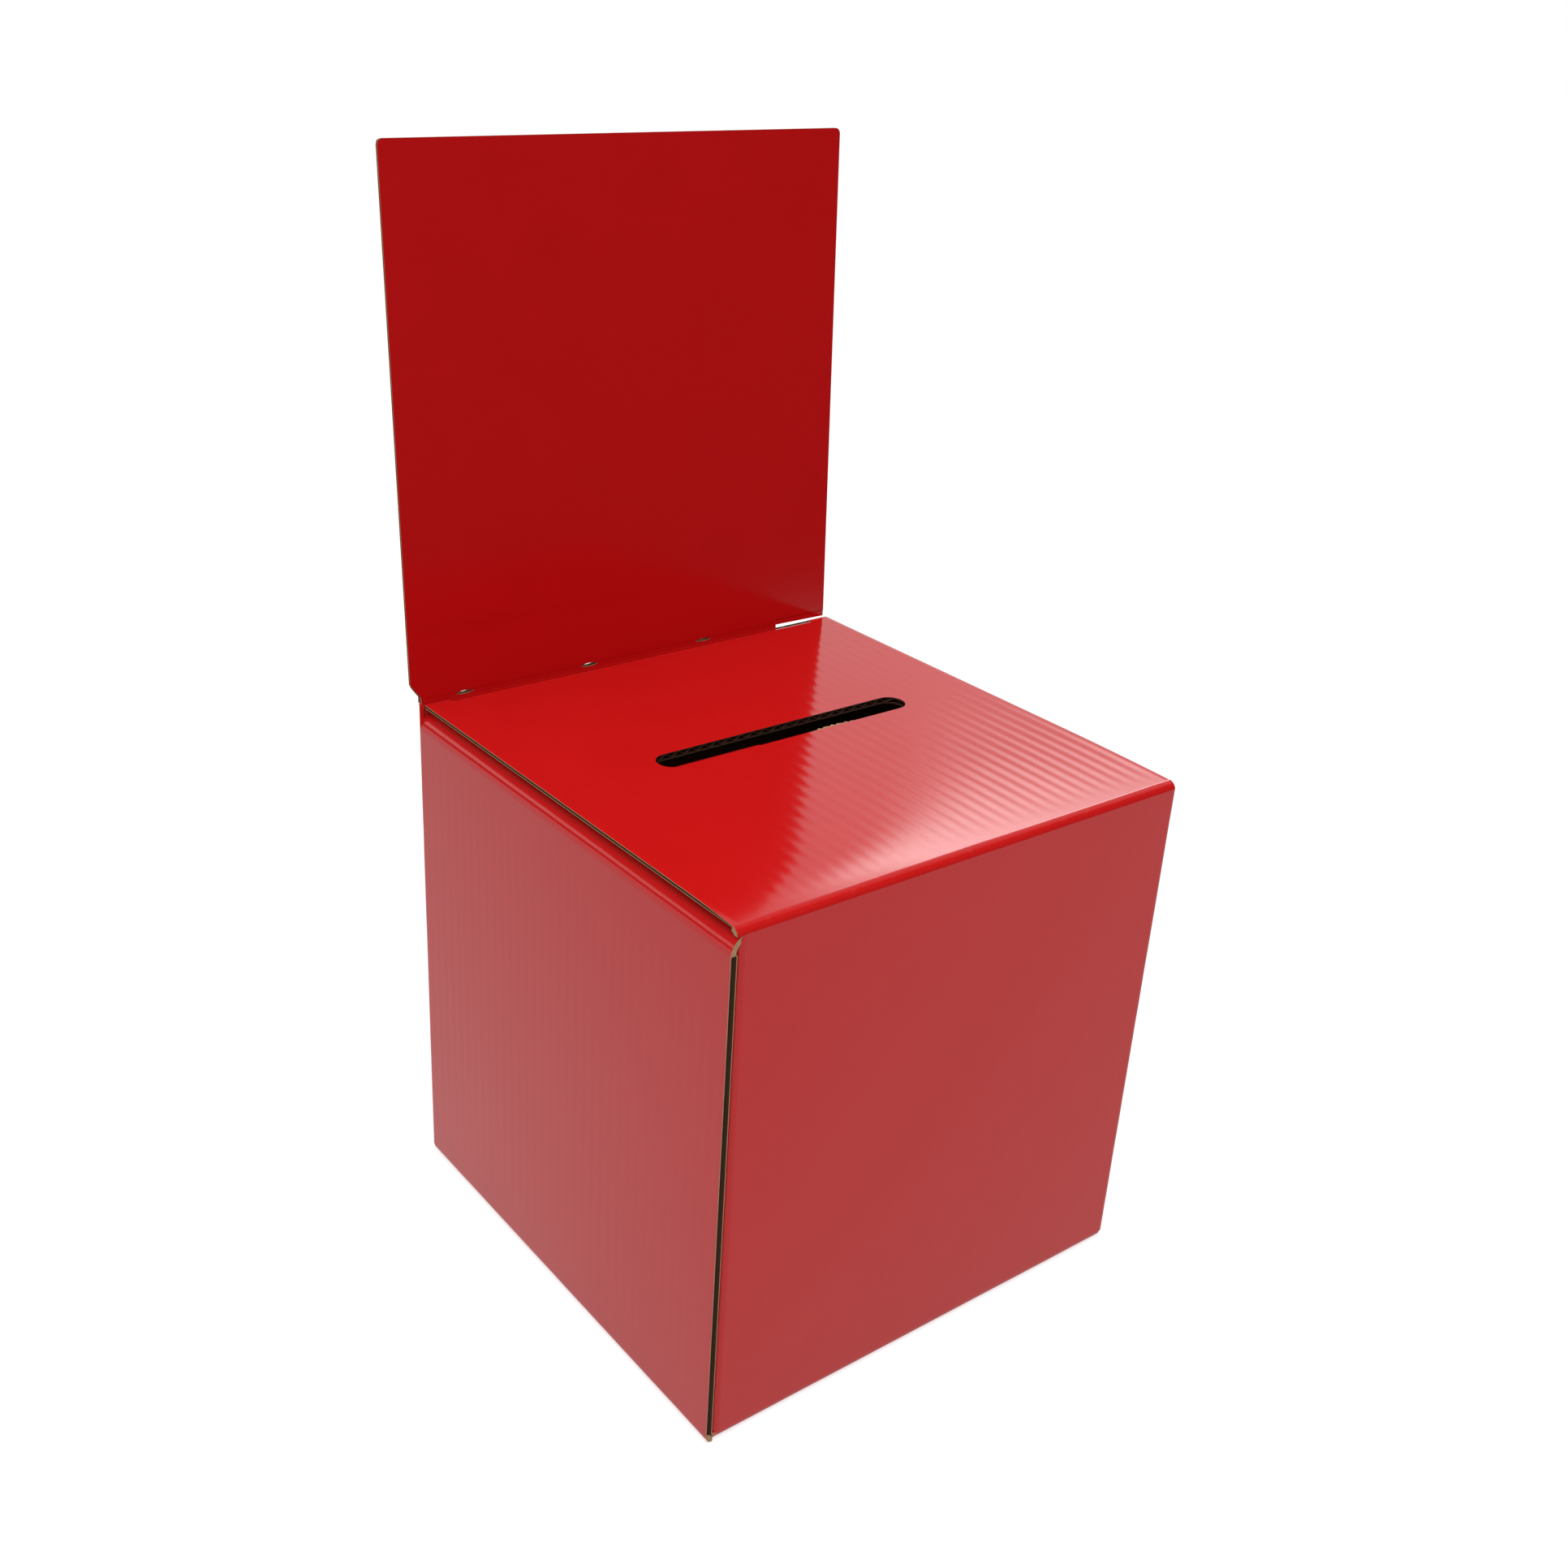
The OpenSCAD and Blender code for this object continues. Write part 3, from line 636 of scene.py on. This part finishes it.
# lid with its slot
lidValues = {
    "halfWidth": 112.3, "front": -110.9, "rear": 111.1, "foldY": 108.1, "slit": 12.0, "top": 235.0,
    "slotLength": 132.0, "slotWidth": 13.4, "slotX": 5.6, "slotY": 8.6, "slotSteps": 14,
    "dip": 0.9, "dipLength": (24.0, 58.0), "edgeCrush": 0.62, "crushWidth": 1.8,
    "rows": [-109, -107, -104, -100, -96, -91, -85, -78, -70, -61, -52, -30, -10, 20, 50, 80, 96, 103],
}


def slotOutline():
    radius = lidValues["slotWidth"] / 2
    reach = lidValues["slotLength"] / 2 - radius
    turns = [math.pi * (k / lidValues["slotSteps"] - 0.5) for k in range(lidValues["slotSteps"] + 1)]
    right = [(lidValues["slotX"] + reach + radius * math.cos(t), lidValues["slotY"] + radius * math.sin(t)) for t in turns]
    left = [(lidValues["slotX"] - reach - radius * math.cos(t), lidValues["slotY"] - radius * math.sin(t)) for t in turns]
    return right + left


def lidDip(u, v):
    # the scored front edge pulls the printed face down, over a longer stretch at the right
    short, long = lidValues["dipLength"]
    length = short + (long - short) * fade(u + 50, 130)
    t = np.clip(1 - (v - lidValues["front"]) / length, 0, 1)
    return lidValues["dip"] * t * t


def placeLid(u, v, w):
    crush = lidValues["edgeCrush"] * (1 - fade(lidValues["halfWidth"] - np.abs(u), lidValues["crushWidth"]))
    return u, v, lidValues["top"] + crushed(w, crush) - lidDip(u, v) * (1 + w / board) - 0.25 * crush


wide, inner = lidValues["halfWidth"], lidValues["halfWidth"] - lidValues["slit"]
lid = makeBoard(
    "lidPanel",
    [(-wide, lidValues["front"]), (wide, lidValues["front"]), (wide, lidValues["rear"]), (inner, lidValues["rear"]),
     (inner, lidValues["foldY"]), (-inner, lidValues["foldY"]), (-inner, lidValues["rear"]), (-wide, lidValues["rear"])],
    placeLid, holes=[slotOutline()], rows=lidValues["rows"], shift=1.9,
    press=lambda u, v: (fade(v - lidValues["front"] - 2, 12) * (0.45 + 0.55 * fade(u + 60, 90) * fade(20 - v, 60))
                        * (0.3 + 0.7 * fade(lidValues["foldY"] - v, 15))))
# painted shade: the cut liner edges round the slot take the dark fluting colour, for the shade inside the slot
repaint(lid, kraftCut, kraftFluteShaded,
        lambda c: abs(c.y - lidValues["slotY"]) < lidValues["slotWidth"] and abs(c.x) < 0.9 * wide)
finishPiece(lid, "lid", replaced="lid_panel")

# a curl of torn liner on the slot's near rim
curlValues = {"from": 12.0, "to": 50.0, "deep": 2.2, "thick": 0.25, "down": 0.8}
rimY = lidValues["slotY"] - lidValues["slotWidth"] / 2


def curlPlace(lift):
    def spot(u, v):
        t = (u - curlValues["from"]) / (curlValues["to"] - curlValues["from"])
        reach = curlValues["deep"] * np.sin(math.pi * np.clip(t, 0, 1) ** 0.7) * (0.8 + 0.2 * np.sin(u * 1.7))
        return (u, rimY - 0.15 + reach * v,
                lidValues["top"] - curlValues["down"] + 0.25 * reach * v * v + lift)
    return spot


curl = makeBend("slotCurl", boxOutline(curlValues["from"], curlValues["to"], 0, 1), curlPlace(0.0),
                curlPlace(-curlValues["thick"]), rows=[0.5], step=1.5, outer=kraftTorn)
finishPiece(curl, "lid")

creaseValues = {"skin": 0.45, "whole": 2.5, "unevenness": 0.05}


def pathPoint(path, v):
    # point at v on a polyline whose corners are at v = 0, 1, 2 and so on
    path = np.array(path)
    steps = np.arange(len(path))
    return np.interp(v, steps, path[:, 0]), np.interp(v, steps, path[:, 1])


def offsetPath(path, depth):
    # the same path, moved to its right by the skin's thickness
    path = np.array(path, float)
    along = np.gradient(path, axis=0)
    along /= np.linalg.norm(along, axis=1)[:, None]
    return path + depth * np.stack([along[:, 1], -along[:, 0]], axis=1)


def arcPath(centre, radius, start, end, steps):
    return [(centre[0] + radius * math.cos(math.radians(a)), centre[1] + radius * math.sin(math.radians(a)))
            for a in np.linspace(start, end, steps + 1)]


def creaseBend(name, path, place, u0, u1, seed, depths=None, holes=(), step=3.0, outer=creasePrint, rough=None):
    # layer over a moving crease; place turns (u, a, b) into the row frame, a and b being the path's two values
    shallow, deep = depths or (0, creaseValues["skin"])
    rough = creaseValues["unevenness"] if rough is None else rough
    last = len(path) - 1

    def on(line):
        def spot(u, v):
            a, b = pathPoint(line, v)
            ends = np.sin(np.pi * np.clip(v / last, 0, 1))
            return place(u, a, b + ends * wobble(u, rough, seed))
        return spot
    return makeBend(name, boxOutline(u0, u1, 0, last), on(offsetPath(path, shallow)), on(offsetPath(path, deep)),
                    holes=holes, rows=range(1, last), step=step, outer=outer)


def softFold(name, path, place, u0, u1, seed, node):
    # printed liner over a fold, and the crushed fluting and inner liner under it
    skin = creaseBend(name, path, place, u0, u1, seed)
    # the core shows the dark fluting colour, painted shade
    core = creaseBend(name + "Core", path, place, u0 + 0.25, u1 - 0.25, seed,
                      depths=(creaseValues["skin"] + 0.02, creaseValues["whole"]), outer=kraftFluteShaded)
    for piece in (skin, core):
        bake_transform(piece)
    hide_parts(node)


foldTop = lidValues["top"] - lidValues["dip"]
lidPath = [(-half + (1 - math.cos(t)) * (lidValues["front"] + half),
            wallValues["frontTop"] + math.sin(t) * (foldTop - wallValues["frontTop"]))
           for t in np.linspace(0, math.pi / 2, 13)]
softFold("lidCrease", lidPath, lambda u, a, b: (u, a, b), -wide, wide, 5,
         "lid_fold")

# tuck flap behind the lid
tuckValues = {"length": 58.0, "halfWidth": 102.5, "cornerRadius": 19.0, "lean": 8.0, "gap": 0.15,
              "axis": (108.1, 232.0)}
tuckAxis = tuckValues["axis"]
tuckLean = math.radians(tuckValues["lean"])


def tuckOutline():
    wide, long, r = tuckValues["halfWidth"], tuckValues["length"], tuckValues["cornerRadius"]
    turns = [math.pi / 2 * k / 10 for k in range(11)]
    right = [(wide - r + r * math.sin(t), -long + r - r * math.cos(t)) for t in turns]
    left = [(-wide + r - r * math.sin(t), -long + r - r * math.cos(t)) for t in reversed(turns)]
    return right + [(wide, -tuckValues["gap"]), (-wide, -tuckValues["gap"])] + left


def placeTuck(u, v, w):
    y, z = board + w, v
    return (-u, tuckAxis[0] + y * math.cos(tuckLean) + z * math.sin(tuckLean),
            tuckAxis[1] - y * math.sin(tuckLean) + z * math.cos(tuckLean))


tuckFlap = makeBoard("tuckFlap", tuckOutline(), placeTuck, rows=[-45, -30, -15, -5], shift=0.5,
                     press=lambda u, v: fade(-v, 10))
finishPiece(tuckFlap, "tuck", replaced="tuck_flap")
tuckPath = arcPath((0, 0), board, 90, -tuckValues["lean"], 10)
softFold("tuckCrease", tuckPath, lambda u, a, b: (u, tuckAxis[0] + a, tuckAxis[1] + b), -inner + 0.3, inner - 0.3, 6,
         "tuck_fold")
print("lid made")

# header, printed on both faces
headerValues = {
    "axis": (113.0, 236.7), "lean": 3.0, "centre": -4.0, "halfWidth": 114.5, "height": 228.0, "foot": 1.65,
    "cornerRadius": 2.5, "slantWidth": 4.5, "slantHeight": 6.5, "cutLength": 30.0,
    "nickLength": 9.5, "nickInset": 44.0, "nickStep": 64.5, "nickHeights": (1.3, 1.6, 1.5), "groove": 0.1,
    "edgeCrush": 0.75, "crushWidth": 1.8, "left": -113.7,
    "rows": [8, 16, 40, 80, 120, 160, 200, 215, 222],
}
headerAxis = headerValues["axis"]
headerLean = math.radians(headerValues["lean"])


def headerOutline():
    # seen from behind: u runs towards -X
    x0 = -headerValues["centre"] - headerValues["halfWidth"]
    x1 = -headerValues["centre"] + headerValues["halfWidth"]
    r, top, foot = headerValues["cornerRadius"], headerValues["height"], headerValues["foot"]
    turns = [math.pi / 2 * k / 6 for k in range(7)]
    right = [(x1 - r + r * math.cos(t), top - r + r * math.sin(t)) for t in turns]
    left = [(x0 + r - r * math.sin(t), top - r + r * math.cos(t)) for t in turns]
    return ([(x0, foot), (x1 - headerValues["slantWidth"], foot), (x1, foot + headerValues["slantHeight"])]
            + right + left)


def placeHeader(u, v, w):
    # the cut edges are crushed thin from behind
    away = np.minimum(headerValues["halfWidth"] - np.abs(u + headerValues["centre"]), headerValues["height"] - v)
    crush = headerValues["edgeCrush"] * (1 - fade(away, headerValues["crushWidth"]))
    y, z = board / 2 + crushed(w, crush) - crushed(-board, crush) - board, v
    return (-u, headerAxis[0] + y * math.cos(headerLean) + z * math.sin(headerLean),
            headerAxis[1] - y * math.sin(headerLean) + z * math.cos(headerLean))


header = makeBoard("headerPanel", headerOutline(), placeHeader, rows=headerValues["rows"], shift=2.6,
                   outer=headerBack, inner=headerPrintShaded,
                   press=lambda u, v: fade(v - headerValues["foot"], 12) * fade(headerValues["height"] - v, 4))
finishPiece(header, "header", replaced="header_panel")

cutX = headerValues["centre"] + headerValues["halfWidth"] - headerValues["cutLength"]
headerSteps = 8


def nickOutline(centre, height):
    # a lens: the score was cut right through and has opened a little
    middle, steps = headerSteps / 2, 10
    tall = height / (2 * headerValues["foot"]) * middle
    turns = [-1 + 2 * k / steps for k in range(steps + 1)]
    reach = headerValues["nickLength"] / 2
    return ([(centre + t * reach, middle - tall * (1 - t * t)) for t in turns[:-1]]
            + [(centre - t * reach, middle + tall * (1 - t * t)) for t in turns[:-1]])


nicks = [nickOutline(cutX - headerValues["nickInset"] - k * headerValues["nickStep"], height)
         for k, height in enumerate(headerValues["nickHeights"])]
sine, cosine = math.sin(headerLean), math.cos(headerLean)


def headerPath(side):
    # from the back wall's top to the header's foot, drawn in where the score is
    foot = headerValues["foot"]
    start = (side * 1.5, -foot)
    end = (side * 1.5 * cosine + foot * sine, foot * cosine - side * 1.5 * sine)
    points = []
    for k in range(headerSteps + 1):
        t = k / headerSteps
        draw = side * headerValues["groove"] * math.exp(-((t - 0.5) / 0.16) ** 2)
        points.append((start[0] + (end[0] - start[0]) * t - draw, start[1] + (end[1] - start[1]) * t))
    return points


for name, side in (("headerCreaseFront", -1), ("headerCreaseBack", 1)):
    path = headerPath(side)
    crease = creaseBend(name, path if side < 0 else path[::-1],
                        lambda u, a, b: (u, headerAxis[0] + a, headerAxis[1] + b),
                        headerValues["left"], cutX, 7 + side, holes=nicks, step=2.0,
                        outer=headerPrintShaded if side < 0 else creasePrint, rough=0.0)
    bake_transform(crease)
    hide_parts("header_fold")
# lip of torn liner that hangs into the open cut, lower at the right
lipLow = {"left": -0.6, "right": -1.1}


def lipPlace(side):
    def spot(u, v):
        foot = np.interp(u, [cutX, -inside * -1], [lipLow["left"], lipLow["right"]])
        return placeHeader(-u, foot + (headerValues["foot"] + 0.3 - foot) * v, -board + side)
    return spot


lip = makeBend("headerLip", boxOutline(cutX, headerValues["centre"] + headerValues["halfWidth"] - 0.2, 0, 1),
               lipPlace(0.0), lipPlace(0.45), step=3.0, outer=headerPrintShaded)
finishPiece(lip, "header")
print("header made")

# dust flaps under the lid and their folds, which show as round shoulders
dustValues = {
    "axisX": 111.5, "axisZ": 228.2, "front": -110.9, "rear": 94.5, "reach": 110.0, "step": 13.0, "backReach": 26.0,
    "corner": 8.0, "slant": 28.0, "taper": 13.5, "gap": 0.15, "sag": {"Left": 0.0, "Right": 2.0},
    "foldFront": {"Left": -114.1, "Right": -111.4}, "foldRear": 111.4, "foldRadius": 8.0, "droop": {"Left": 2.1, "Right": 1.6},
}


def dustOutline():
    d = dustValues
    c = d["corner"]
    start = d["foldRadius"] - board
    return [(start, d["front"]), (d["reach"] - d["slant"], d["front"] + c), (d["reach"], d["front"] + d["slant"] + c),
            (d["reach"], d["step"] - c / 2), (d["reach"] - c / 2, d["step"]), (d["backReach"] + c, d["step"]),
            (d["backReach"], d["step"] + c), (d["backReach"], d["rear"] - c), (d["backReach"] - c, d["rear"]),
            (d["taper"], d["rear"]), (start, d["rear"] + d["taper"] - start)]


for name, side in (("Left", -1), ("Right", 1)):
    sag = math.radians(dustValues["sag"][name])
    body = "dust_" + name.lower()

    def placeDust(u, v, w, side=side, sag=sag, droop=dustValues["droop"][name]):
        # v is the reach from the crease; the flutes run along it
        w = w - droop * fade(v - 6, 42)
        along, up = v * math.cos(sag) + (board + w) * math.sin(sag), (board + w) * math.cos(sag) - v * math.sin(sag)
        return side * (dustValues["axisX"] - along), u, dustValues["axisZ"] + up

    flap = makeBoard("dustFlap" + name, [(y, reach) for reach, y in dustOutline()], placeDust,
                     rows=[8, 14, 30, 60, 90], press=lambda u, v: fade(v - 5, 10), shift=0.7)
    finishPiece(flap, body, replaced="dust_flap_" + name.lower())
    bend = dustValues["foldRadius"]
    path = []
    for k, (a, b) in enumerate(arcPath((bend - board, board - bend), bend, 180, 90, 14)):
        lean = sag * k / 14
        path.append((a * math.cos(lean) + b * math.sin(lean), b * math.cos(lean) - a * math.sin(lean)))
    at, height = dustValues["axisX"], dustValues["axisZ"]
    softFold("dustCrease" + name, path, lambda u, a, b, side=side: (side * (at - a), u, height + b),
             dustValues["foldFront"][name], dustValues["foldRear"], 10 + side,
             "dust_fold_" + name.lower())
print("dust flaps made")

# snap-lock bottom
bottomValues = {
    "layers": [0.0, 3.2, 6.4, 9.6],
    "front": {"length": 120.0, "reach": 87.5, "corner": 24.0, "neck": 116.0, "tongue": 44.0, "ramp": 24.0,
              "end": 164.0, "cut": 10.0},
    "back": {"length": 146.0, "reach": 105.5, "cornerLength": 44.0, "cornerWidth": 30.0, "climb": 32.0,
             "slotStart": 83.0, "slotDepth": 22.0, "slotHalf": 46.0},
    "side": {"length": 58.0, "front": -108.5, "back": 74.5, "corner": 18.0, "notch": 12.0, "climb": 16.0},
}
layers = bottomValues["layers"]
b = bottomValues["front"]
frontBottomOutline = [
    (-b["reach"], board), (b["reach"], board), (b["reach"], b["neck"] - b["corner"]),
    (b["reach"] - b["corner"], b["neck"]), (b["tongue"], b["neck"]), (b["tongue"], b["end"] - b["cut"]),
    (b["tongue"] - b["cut"], b["end"]), (b["cut"] - b["tongue"], b["end"]), (-b["tongue"], b["end"] - b["cut"]),
    (-b["tongue"], b["neck"]), (b["corner"] - b["reach"], b["neck"]), (-b["reach"], b["neck"] - b["corner"])]
climbEnd = b["length"] + b["ramp"]
frontBottom = makeBoard(
    "bottomFlapFront", frontBottomOutline,
    lambda u, v, w: (-u, v - half, np.interp(v, [0, b["length"], climbEnd], [0, 0, layers[3]]) - w),
    rows=[20, 60, b["length"], climbEnd])
finishPiece(frontBottom, "box", replaced="bottom_flap_front")
c = bottomValues["back"]
backBottom = makeBoard(
    "bottomFlapBack",
    [(-c["reach"], board), (c["reach"], board), (c["reach"], c["length"] - c["cornerLength"]),
     (c["reach"] - c["cornerWidth"], c["length"]), (c["cornerWidth"] - c["reach"], c["length"]),
     (-c["reach"], c["length"] - c["cornerLength"])],
    lambda u, v, w: (u, half - v, np.interp(v, [board, board + c["climb"]], [0, layers[2]]) - w),
    holes=[boxOutline(-c["slotHalf"], c["slotHalf"], c["slotStart"], c["slotStart"] + c["slotDepth"])],
    rows=[board + c["climb"], 70, 120], shift=1.6)
finishPiece(backBottom, "box", replaced="bottom_flap_back")
s = bottomValues["side"]
sideOutline = [
    (s["front"], board), (s["front"] + s["corner"] / 2, s["length"] - s["corner"]),
    (s["front"] + 1.5 * s["corner"], s["length"]), (-s["corner"], s["length"]), (0, s["length"] - s["notch"]),
    (s["corner"], s["length"]), (s["back"] - s["corner"], s["length"]), (s["back"], 2 * board), (s["back"], board)]
for name, side in (("Left", -1), ("Right", 1)):
    flap = makeBoard(
        "bottomFlap" + name, sideOutline,
        lambda u, v, w, side=side: (side * (half - v), u, np.interp(v, [board, board + s["climb"]], [0, layers[1]]) - w),
        rows=[board + s["climb"], 35], shift=1.0)
    finishPiece(flap, "box", replaced="bottom_flap_" + name.lower())


def bottomBend(name, place, u0, u1, seed):
    # round fold between a wall and its bottom flap
    thick = cornerValues["thickness"]

    def on(depth):
        def spot(u, v):
            radius = board - depth - (0 if depth else 1) * np.abs(wobble(u, 0.06, seed))
            angle = math.pi / 2 * v / 8
            return place(u, board - radius * np.cos(angle), board - radius * np.sin(angle))
        return spot
    finishPiece(makeBend(name, boxOutline(u0, u1, 0, 8), on(0), on(thick), rows=range(1, 8), step=6.0), "box")


bottomBend("bottomBendFront", lambda u, a, z: (u, a - half, z), -inside + 0.1, inside - 0.1, 21)
bottomBend("bottomBendBack", lambda u, a, z: (u, half - a, z), -inside + 0.1, inside - 0.1, 22)
bottomBend("bottomBendLeft", lambda u, a, z: (a - half, u, z), -half, inside, 23)
bottomBend("bottomBendRight", lambda u, a, z: (half - a, u, z), -inside + 0.1, inside - 0.1, 24)
print("bottom made")
